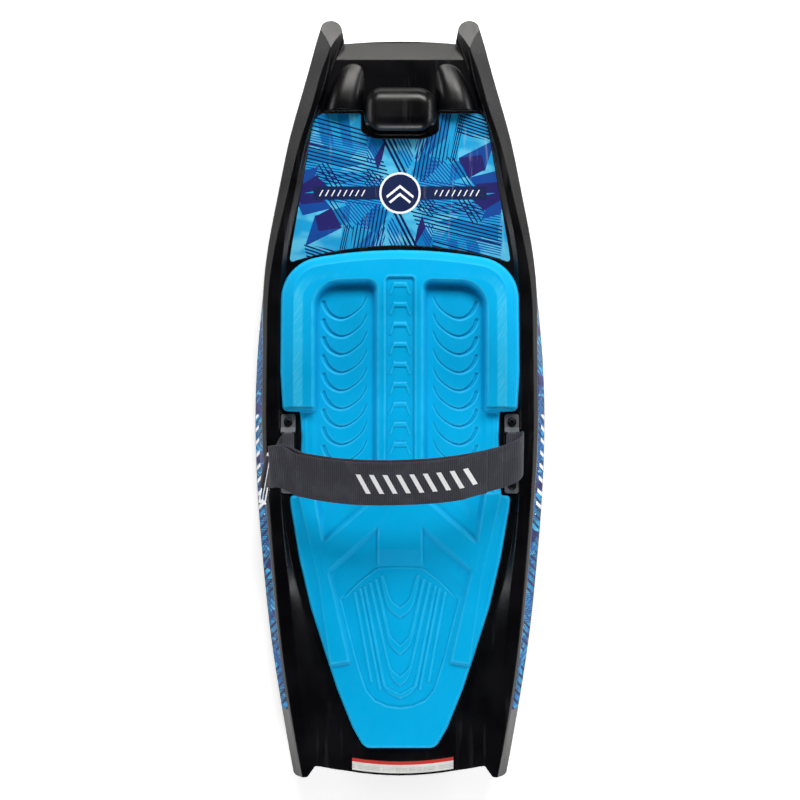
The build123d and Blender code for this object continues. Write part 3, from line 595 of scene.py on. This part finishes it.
def strap_stations():
    """The whole band: sewn loop on the right bar, over the arch, round the buckle and back."""
    right = [(212.6, -96, 104), (210.4, -96, 98.6), (207, -96, 95.7), (200, -96, 95.3),
             (193, -96, 95.1), (190.2, -96, 91.8), (193, -96, 88.1), (200, -96, 87.9),
             (207, -96, 88.2), (211, -96, 91), (213, -95.6, 98), (215.2, -94.5, 110),
             (217, -93.5, 127), (215.6, -97, 144), (206.5, -106, 155)]
    tilt = np.linspace(0, 1, 15)[:, None] ** 3
    right = np.hstack([right, (1 - tilt) * LEVEL + tilt * ARCH_ACROSS,
                       NARROW_W + (STRAP_W - NARROW_W) * tilt])
    over = [arch(u, WEB / 2) for u in np.linspace(186, -168, 20)]
    down = [(-186, -122, 159.6, 0, 0.95, 0.33, 80), (-202, -116.5, 154.5, -0.03, 0.98, 0.15, 79),
            (-213, -115, 148, -0.04, 1, 0.06, 76), (-218.5, -118, 140, 0, 1, 0.02, 70),
            (-220, -122, 135, 0.08, 1, 0, 65)]
    fold = [near_buckle(21, 3.6), near_buckle(13, 3.4), near_buckle(8, 2.4), near_buckle(6.2, 0),
            near_buckle(8, -2.4), near_buckle(13, -3.4), near_buckle(21, -3.6)]
    up = [(-228.5, -122, 140.5, 0.03, 1, 0.02, 66), (-228.5, -118, 148, -0.08, 1, 0.04, 72),
          (-224, -117, 154, -0.1, 1, 0.06, 74), (-215, -116.5, 158.5, -0.08, 0.99, 0.15, 76),
          (-202, -119.5, 162, -0.04, 0.97, 0.26, 79)]
    back = []
    for u in np.linspace(-184, RETURN_END, 25):
        settled = smoothstep((u - 105) / 30)
        back.append(arch(u, UPPER_LIFT - 2.6 * settled + WEB / 2, -2.2 + 1.6 * settled))
    return curve_through(np.vstack([right, over, down, fold, up, back]), 3)


def anchor_stations():
    """Band from the left bracket's bar to the buckle's lower rim."""
    bar = [(-209.5, -96, 97), (-206, -96, 95.5), (-200, -96, 95.2), (-193, -96, 95),
           (-190.2, -96, 91.8), (-193, -96, 88.1), (-200, -96, 87.9), (-208, -97, 88.4),
           (-217, -103, 89.4), (-227, -119, 91.6), (-235, -131, 94.2)]
    bar = [(*q, *(np.array(LEVEL) * (1 - k) + LONG_SIDE * k), NARROW_W)
           for q, k in zip(bar, np.linspace(0, 1, len(bar)) ** 3)]
    rim = [near_buckle(up, inward, 10, 58) for up, inward in
           ((-13, 3.5), (-8, 2.5), (-6.2, 0), (-8, -2.5), (-13, -3.4), (-18.2, -2.5))]
    return curve_through(np.vstack([bar, rim]), 2.5)


def make_strap(webbing, printed, tape):
    band = framed(strap_stations())
    x = band[:, 0]
    inner = np.flatnonzero(np.abs(x) < SPLIT_X)
    gap = inner[np.flatnonzero(np.diff(inner) > 1)[0]]
    first, second = inner[0], inner[inner > gap][0]
    pieces = [("strap_right_end", band[:first + 1], webbing, "strap_end_right"),
              ("strap_lower_layer", band[first:gap + 1], webbing, "strap_webbing"),
              ("strap_left_fold", band[gap:second + 1], webbing, "strap_end_left"),
              ("strap_upper_layer", band[second:], printed, "strap_return")]
    for name, stations, material, node in pieces:
        piece = ribbon(name, stations, WEB, material)
        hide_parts(node)
        if name == "strap_right_end":
            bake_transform(piece)
        elif name == "strap_left_fold":
            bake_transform(piece)
        else:
            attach(piece, "strap")
    for name, node, lift, u0, u1 in (("loop_strip", "loop_tape", WEB + 0.2, -150, 100),
                                     ("hook_strip", "hook_tape", WEB + 1.5, -140, 110)):
        stations = [arch(u, lift + TAPE / 2, -1, 78) for u in np.linspace(u0, u1, 16)]
        piece = ribbon(name, framed(curve_through(stations, 3)), TAPE, tape)
        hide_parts(node)
        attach(piece, "strap")
    anchor = ribbon("buckle_anchor", framed(anchor_stations()), WEB, webbing, 0.0)
    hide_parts("anchor_webbing")
    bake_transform(anchor)


# ---------------------------------------------------------------- printed graphics
LIGHT, SKY, MID = srgb(86, 186, 222), srgb(24, 152, 208), srgb(0, 116, 182)
BLUE, NAVY, VIOLET = srgb(16, 68, 148), srgb(10, 24, 78), srgb(34, 32, 100)
WHITE = srgb(240, 241, 243)
# Half of the pattern, in millimetres from its middle; the other half is the same turned round.
# Corners anticlockwise, tone, and for lines their angle, pitch and share of the pitch.
SHARDS = [
    ([(-180, 0), (-140, 0), (-20, 141), (-60, 141), (-172, 60)], SKY, None),
    ([(20, 0), (96, 0), (112, 141), (60, 141)], SKY, None),
    ([(-70, 100), (-44, 60), (-24, 96), (-58, 141)], MID, None),
    ([(-140, 90), (-118, 86), (-128, 141), (-150, 141)], MID, None),
    ([(-102, 84), (-84, 80), (-92, 141), (-112, 141)], MID, None),
    ([(-72, 77), (-58, 74), (-64, 141), (-80, 141)], SKY, None),
    ([(-176, 60), (-90, 46), (-60, 52), (-176, 84)], MID, None),
    ([(52, 70), (84, 100), (92, 141), (64, 141)], MID, None),
    ([(20, 34), (44, 22), (70, 52), (40, 74)], MID, None),
    ([(88, 20), (120, 30), (110, 60), (92, 52)], MID, None),
    ([(-182, 116), (-60, 84), (-52, 112), (-166, 146)], NAVY, (-15, 7.4, 0.36)),
    ([(-184, 58), (-18, 28), (-30, 58), (-180, 100)], NAVY, (-14, 6.4, 0.42)),
    ([(-184, 86), (-60, 66), (-50, 84), (-180, 112)], BLUE, (-13, 4.2, 0.4)),
    ([(-182, 22), (-28, 8), (-22, 26), (-180, 56)], BLUE, (-9, 4.6, 0.45)),
    ([(-150, 14), (-34, 22), (-26, 34), (-150, 40)], NAVY, (-22, 7.0, 0.34)),
    ([(-40, 40), (-32, 60), (-24, 98), (-46, 62)], VIOLET, None),
    ([(-62, 58), (-50, 50), (-38, 76), (-52, 104)], BLUE, (-60, 4.4, 0.5)),
    ([(2, 26), (16, 26), (-10, 97), (-36, 97)], NAVY, (-63, 7.6, 0.56)),
    ([(12, 38), (24, 60), (18, 97), (-8, 97)], BLUE, (-63, 5.4, 0.46)),
    ([(20, 30), (40, 18), (84, 60), (94, 141), (68, 141), (34, 97)], NAVY, (80, 6.6, 0.38)),
    ([(34, 22), (96, 12), (104, 44), (60, 66)], BLUE, (-50, 5.0, 0.42)),
    ([(26, 60), (60, 72), (64, 141), (30, 141)], BLUE, (73, 4.6, 0.44)),
    ([(88, 58), (100, 54), (116, 141), (104, 141)], NAVY, (77, 3.6, 0.5)),
    ([(100, 106), (172, 90), (164, 132), (108, 146)], NAVY, (-18, 5.6, 0.5)),
    ([(30, -1), (184, -1), (112, 17), (34, 24)], BLUE, (-11, 4.4, 0.5)),
    ([(126, 0), (152, 0), (100, 64), (84, 64)], NAVY, (-57, 7, 0.36)),
    ([(126, 36), (152, 40), (170, 95), (104, 62)], BLUE, None),
    ([(122, 26), (152, 42), (146, 68), (104, 62)], VIOLET, None),
    ([(140, 5), (188, 8), (174, 40), (122, 27)], BLUE, None),
    ([(150, -1), (190, -1), (176, 20), (134, 16)], VIOLET, None),
    ([(-186, 8), (-156, 20), (-146, 47), (-180, 37)], BLUE, None),
    ([(-184, 10), (-176, -1), (-126, 9), (-150, 31)], VIOLET, None),
    ([(-118, 0), (-92, 0), (-128, 57), (-150, 49)], NAVY, (-58, 7, 0.36)),
    ([(-64, 14), (-30, 4), (-22, 20), (-58, 46)], NAVY, (-52, 5.6, 0.4)),
]
PATTERN_Y = 370             # middle of the nose graphic


def inside_corners(n, point, corners):
    """1 inside a convex polygon of the plane, 0 outside. point is (x, y, 1)."""
    nearest = None
    for (ax, ay), (bx, by) in zip(corners, corners[1:] + corners[:1]):
        nx, ny = ay - by, bx - ax
        edge = n.add("VectorMath", {0: point, 1: (nx, ny, -nx * ax - ny * ay)},
                     operation="DOT_PRODUCT").outputs["Value"]
        nearest = edge if nearest is None else n.math("MINIMUM", nearest, edge)
    return n.math("GREATER_THAN", nearest, 0.0)


def lines_of(n, point, angle, pitch, share):
    """1 on parallel lines, 0 between them."""
    a = math.radians(angle)
    turned = (-math.sin(a) / pitch, math.cos(a) / pitch, 40.0)
    phase = n.add("VectorMath", {0: point, 1: turned}, operation="DOT_PRODUCT").outputs["Value"]
    return n.math("LESS_THAN", n.math("FRACT", phase), share)


def printed_pattern(n, px, py):
    """Colour of the blue shard pattern at px, py, in millimetres from its middle."""
    side = n.math("SIGN", py)
    point = n.add("CombineXYZ", {0: n.product(px, side), 1: n.product(py, side), 2: 1.0}).outputs[0]
    broad = n.noise(0.012, 2, (1, 2.2, 1), vector=point)
    colour = n.mix(n.fade(broad, 0.42, 0.58), LIGHT, SKY)
    for corners, tone, lines in SHARDS:
        mask = inside_corners(n, point, corners)
        if lines:
            mask = n.product(mask, lines_of(n, point, *lines))
        colour = n.mix(mask, colour, tone)
    return colour


def film_finish(n, colour, specular=0.5, coat=0.12):
    """Thin printed film moulded into the hull: satin, with faint ripples and scratches."""
    scratches = n.fade(n.noise(70, 4, (1, 0.08, 1), distortion=0.5), 0.6, 0.72)
    colour = n.mix(n.product(scratches, 0.12), colour, WHITE)
    rough = n.math("ADD", n.fade(n.noise(18, 3), 0.3, 0.7, 0.30, 0.38), n.product(scratches, 0.1))
    normal = n.bump(n.noise(11, 2), 0.001, 0.25)
    normal = n.bump(n.noise(1300, 2), 0.00003, 0.4, normal)
    return n.finish(colour, rough, normal, Specular_IOR_Level=specular, Coat_Weight=coat,
                    Coat_Roughness=0.2)


def millimetres(n, value, offset=0.0):
    return n.math("MULTIPLY_ADD", value, 1000.0, offset)


def nose_film():
    """The pattern with a plain navy band, slanted ticks and a round plate with a chevron."""
    n = Nodes("nose_film")
    x, y, _ = n.split(n.coords)
    px, py = millimetres(n, x), millimetres(n, y, -PATTERN_Y)
    colour = printed_pattern(n, px, py)
    ax, ay = n.math("ABSOLUTE", px), n.math("ABSOLUTE", py)
    band = n.product(n.math("LESS_THAN", ay, 12.0), n.math("LESS_THAN", ax, 155.0))
    colour = n.mix(band, colour, srgb(20, 34, 76))
    point = n.add("CombineXYZ", {0: px, 1: py, 2: 1.0}).outputs[0]
    ticks = n.product(n.math("LESS_THAN", ay, 5.5), n.math("GREATER_THAN", ax, 62.0),
                      n.math("LESS_THAN", ax, 146.0), lines_of(n, point, 62, 9.5, 0.2))
    colour = n.mix(ticks, colour, WHITE)
    radius = n.add("VectorMath", {0: n.add("CombineXYZ", {0: px, 1: py}).outputs[0]},
                   operation="LENGTH").outputs["Value"]
    colour = n.mix(n.math("LESS_THAN", radius, 37.0), colour, WHITE)
    colour = n.mix(n.math("LESS_THAN", radius, 33.2), colour, srgb(20, 34, 76))
    rise = n.math("MULTIPLY_ADD", ax, 0.8, py)
    step = n.math("PINGPONG", n.math("ADD", rise, 2.0), 7.0)
    chevron = n.product(n.math("LESS_THAN", step, 2.6), n.math("LESS_THAN", radius, 25.0),
                        n.math("LESS_THAN", n.math("ABSOLUTE", n.math("ADD", rise, -5.0)), 17.0))
    return film_finish(n, n.mix(chevron, colour, WHITE))


def rail_film():
    """The pattern repeated along the side, with a row of slanted white bars."""
    n = Nodes("rail_film")
    x, y, z = n.split(n.coords)
    out = n.math("MULTIPLY_ADD", z, 900.0, millimetres(n, n.math("ABSOLUTE", x), -172.0))
    py = n.math("ADD", n.math("PINGPONG", millimetres(n, y, 900.0), 140.0), -70.0)
    py = n.product(py, 2.0)
    colour = printed_pattern(n, n.product(out, n.math("SIGN", x)), py)
    along = millimetres(n, y)
    point = n.add("CombineXYZ", {0: along, 1: out, 2: 1.0}).outputs[0]
    patches = n.fade(n.noise(0.02, 2, (1, 2.0, 1), vector=point), 0.42, 0.52)
    colour = n.mix(n.product(lines_of(n, point, 58, 12.0, 0.36), patches), colour, NAVY)
    colour = n.mix(n.product(lines_of(n, point, 118, 10.0, 0.34), n.math("SUBTRACT", 1.0, patches)),
                   colour, BLUE)
    bars = n.product(n.math("GREATER_THAN", along, -206.0), n.math("LESS_THAN", along, -26.0),
                     n.math("LESS_THAN", n.math("ABSOLUTE", n.math("ADD", out, -118.0)), 11.0),
                     lines_of(n, point, 62, 20.0, 0.3))
    return film_finish(n, n.mix(bars, colour, WHITE), 0.02, 0.0)


def label_film():
    """Care label: a red strip over pale grey, with plain ruled lines."""
    n = Nodes("label_film")
    x, y, _ = n.split(n.coords)
    flat = n.add("CombineXYZ", {0: millimetres(n, x), 1: millimetres(n, y, 119.0)}).outputs[0]
    radius = n.add("VectorMath", {0: flat}, operation="LENGTH").outputs["Value"]
    ruled = n.product(n.math("LESS_THAN", n.math("FRACT", n.product(radius, 0.4)), 0.3),
                      n.math("GREATER_THAN", radius, 541.0), n.math("LESS_THAN", radius, 550.0),
                      n.math("GREATER_THAN", n.noise(160, 1, (1, 0, 0)), 0.42))
    paper = n.mix(n.fade(n.noise(40, 3), 0.3, 0.7), srgb(205, 205, 203), srgb(222, 222, 220))
    colour = n.mix(n.product(ruled, 0.6), paper, srgb(120, 122, 126))
    colour = n.mix(n.math("LESS_THAN", radius, 537.0), colour, srgb(196, 52, 44))
    return n.finish(colour, n.fade(n.noise(30, 3), 0.3, 0.7, 0.35, 0.45),
                    n.bump(n.noise(900, 2), 0.00004, 0.4))


# ---------------------------------------------------------------- hard parts
def steel(name, base, rough, brush=(1, 1, 1), **settings):
    """Metal with fine brushing, smudges and uneven gloss."""
    n = Nodes(name)
    brushed = n.noise(900, 3, brush)
    smudge = n.fade(n.noise(90, 4), 0.35, 0.7)
    colour = n.mix(n.product(smudge, 0.4), base, tuple(0.7 * c for c in base[:3]) + (1,))
    roughness = n.math("ADD", n.fade(brushed, 0.3, 0.7, rough, rough + 0.1),
                       n.product(smudge, 0.08))
    return n.finish(colour, roughness, n.bump(brushed, 0.00005, 0.5), Metallic=1.0, **settings)


def foam_material():
    n = Nodes("foam_core")
    cells = n.add("TexVoronoi", {"Vector": n.coords, "Scale": 420.0}).outputs["Distance"]
    colour = n.mix(n.fade(n.noise(25, 4), 0.3, 0.7), srgb(222, 208, 164), srgb(240, 230, 196))
    return n.finish(colour, n.fade(cells, 0.0, 1.0, 0.8, 0.95), n.bump(cells, 0.0006, 0.7))


def paint_cad_nodes():
    hull = moulded("hull_plastic", srgb(4, 4, 6), srgb(8, 8, 11), 0.26, 0.34, rounding=0.0022,
                   scuff=srgb(30, 30, 34), Specular_IOR_Level=0.32)
    bracket = moulded("bracket_plastic", srgb(84, 88, 92), srgb(100, 104, 108), 0.38, 0.5, 1600,
                      0.00005, 0.0006, srgb(140, 142, 144))
    washer = moulded("washer_plastic", srgb(10, 10, 11), srgb(18, 18, 19), 0.24, 0.34, 1800,
                     0.00003, 0.0006)
    plug = moulded("plug_plastic", srgb(18, 18, 20), srgb(30, 30, 32), 0.35, 0.45, 1500,
                   0.00005, 0.0005)
    finishes = {
        "hull_shell": hull, "nose_graphic": nose_film(), "safety_label": label_film(),
        "foam_core": foam_material(), "fill_plug": plug, "vent_plug": plug,
        "strap_buckle": steel("buckle_steel", srgb(206, 207, 212), 0.16, (1, 0.05, 1)),
    }
    rails = rail_film()
    screws = steel("screw_steel", srgb(58, 58, 60), 0.3)
    brass = steel("insert_brass", srgb(206, 168, 92), 0.28, (1, 1, 0.1))
    for side in ("left", "right"):
        finishes["rail_graphic_" + side] = rails
        finishes["strap_bracket_" + side] = bracket
        finishes["screw_washers_" + side] = washer
        finishes["bracket_screws_" + side] = screws
        finishes["threaded_inserts_" + side] = brass
    for name, material in finishes.items():
        mesh = NODES[name].data
        mesh.materials.clear()
        mesh.materials.append(material)


# ---------------------------------------------------------------- studio
FLOOR_HALF = 60000


def area_light(name, place, target, size, power, colour=(1, 1, 1)):
    data = bpy.data.lights.new(name, "AREA")
    data.shape = "RECTANGLE"
    data.size, data.size_y = size
    data.energy = power
    data.color = colour
    light = bpy.data.objects.new(name, data)
    light.location = place
    light.rotation_euler = (Vector(target) - Vector(place)).to_track_quat("-Z", "Y").to_euler()
    scene.collection.objects.link(light)


def studio():
    world = bpy.data.worlds.new("studio")
    scene.world = world
    world.use_nodes = True
    tree = world.node_tree
    up = tree.nodes.new("ShaderNodeSeparateXYZ")
    tree.links.new(tree.nodes.new("ShaderNodeTexCoord").outputs["Generated"], up.inputs[0])
    fall = tree.nodes.new("ShaderNodeMapRange")
    fall.interpolation_type = "SMOOTHSTEP"
    dark_overhead = {"From Min": 0.62, "From Max": 0.93, "To Min": 1.0, "To Max": 0.04}
    for socket, value in dark_overhead.items():
        fall.inputs[socket].default_value = value
    tree.links.new(up.outputs["Z"], fall.inputs["Value"])
    tree.links.new(fall.outputs[0], tree.nodes["Background"].inputs["Strength"])
    area_light("nose_box", (0.4, 2.3, 1.9), (0, 0.2, 0.1), (3.0, 0.9), 122, (1.0, 0.985, 0.95))
    area_light("right_box", (2.3, 0.5, 0.7), (0, 0.1, 0.1), (2.2, 0.4), 20)
    area_light("left_box", (-2.3, 0.5, 0.7), (0, 0.1, 0.1), (2.2, 0.4), 16)
    area_light("tail_box", (0, -2.6, 1.1), (0, -0.2, 0.1), (2.2, 0.5), 50)

    n = Nodes("pale_floor")
    n.finish(n.mix(n.noise(2, 3), (0.93, 0.93, 0.93, 1), (0.96, 0.96, 0.96, 1)), 0.7,
             n.bump(n.noise(300, 3), 0.0002, 0.2), Emission_Color=(1, 1, 1, 1),
             Emission_Strength=0.42)
    corners = [(-1, -1), (1, -1), (1, 1), (-1, 1)]
    floor = make_object("floor", [(FLOOR_HALF * x, FLOOR_HALF * y, -1) for x, y in corners],
                        [(0, 1, 2, 3)], n.material)

    camera = bpy.data.objects.new("camera", bpy.data.cameras.new("camera"))
    camera.data.lens = 98.6
    camera.data.sensor_width = 36
    camera.location = (0, 0, 4)
    scene.collection.objects.link(camera)
    scene.camera = camera


# ---------------------------------------------------------------- the object
paint_cad_nodes()
pad = make_pad(pad_material())
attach(pad, "board")
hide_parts("knee_pad")
WEBBING = (srgb(26, 26, 32), srgb(76, 76, 88), 0.0036, 0.0003)
plain_webbing = webbing_material("webbing", *WEBBING)
upper_webbing = webbing_material("webbing_upper", *WEBBING, bars=True)
tape_pile = webbing_material("tape", srgb(16, 16, 18), srgb(50, 50, 54), 0.0016, 0.0006, 1.0)
make_strap(plain_webbing, upper_webbing, tape_pile)
studio()
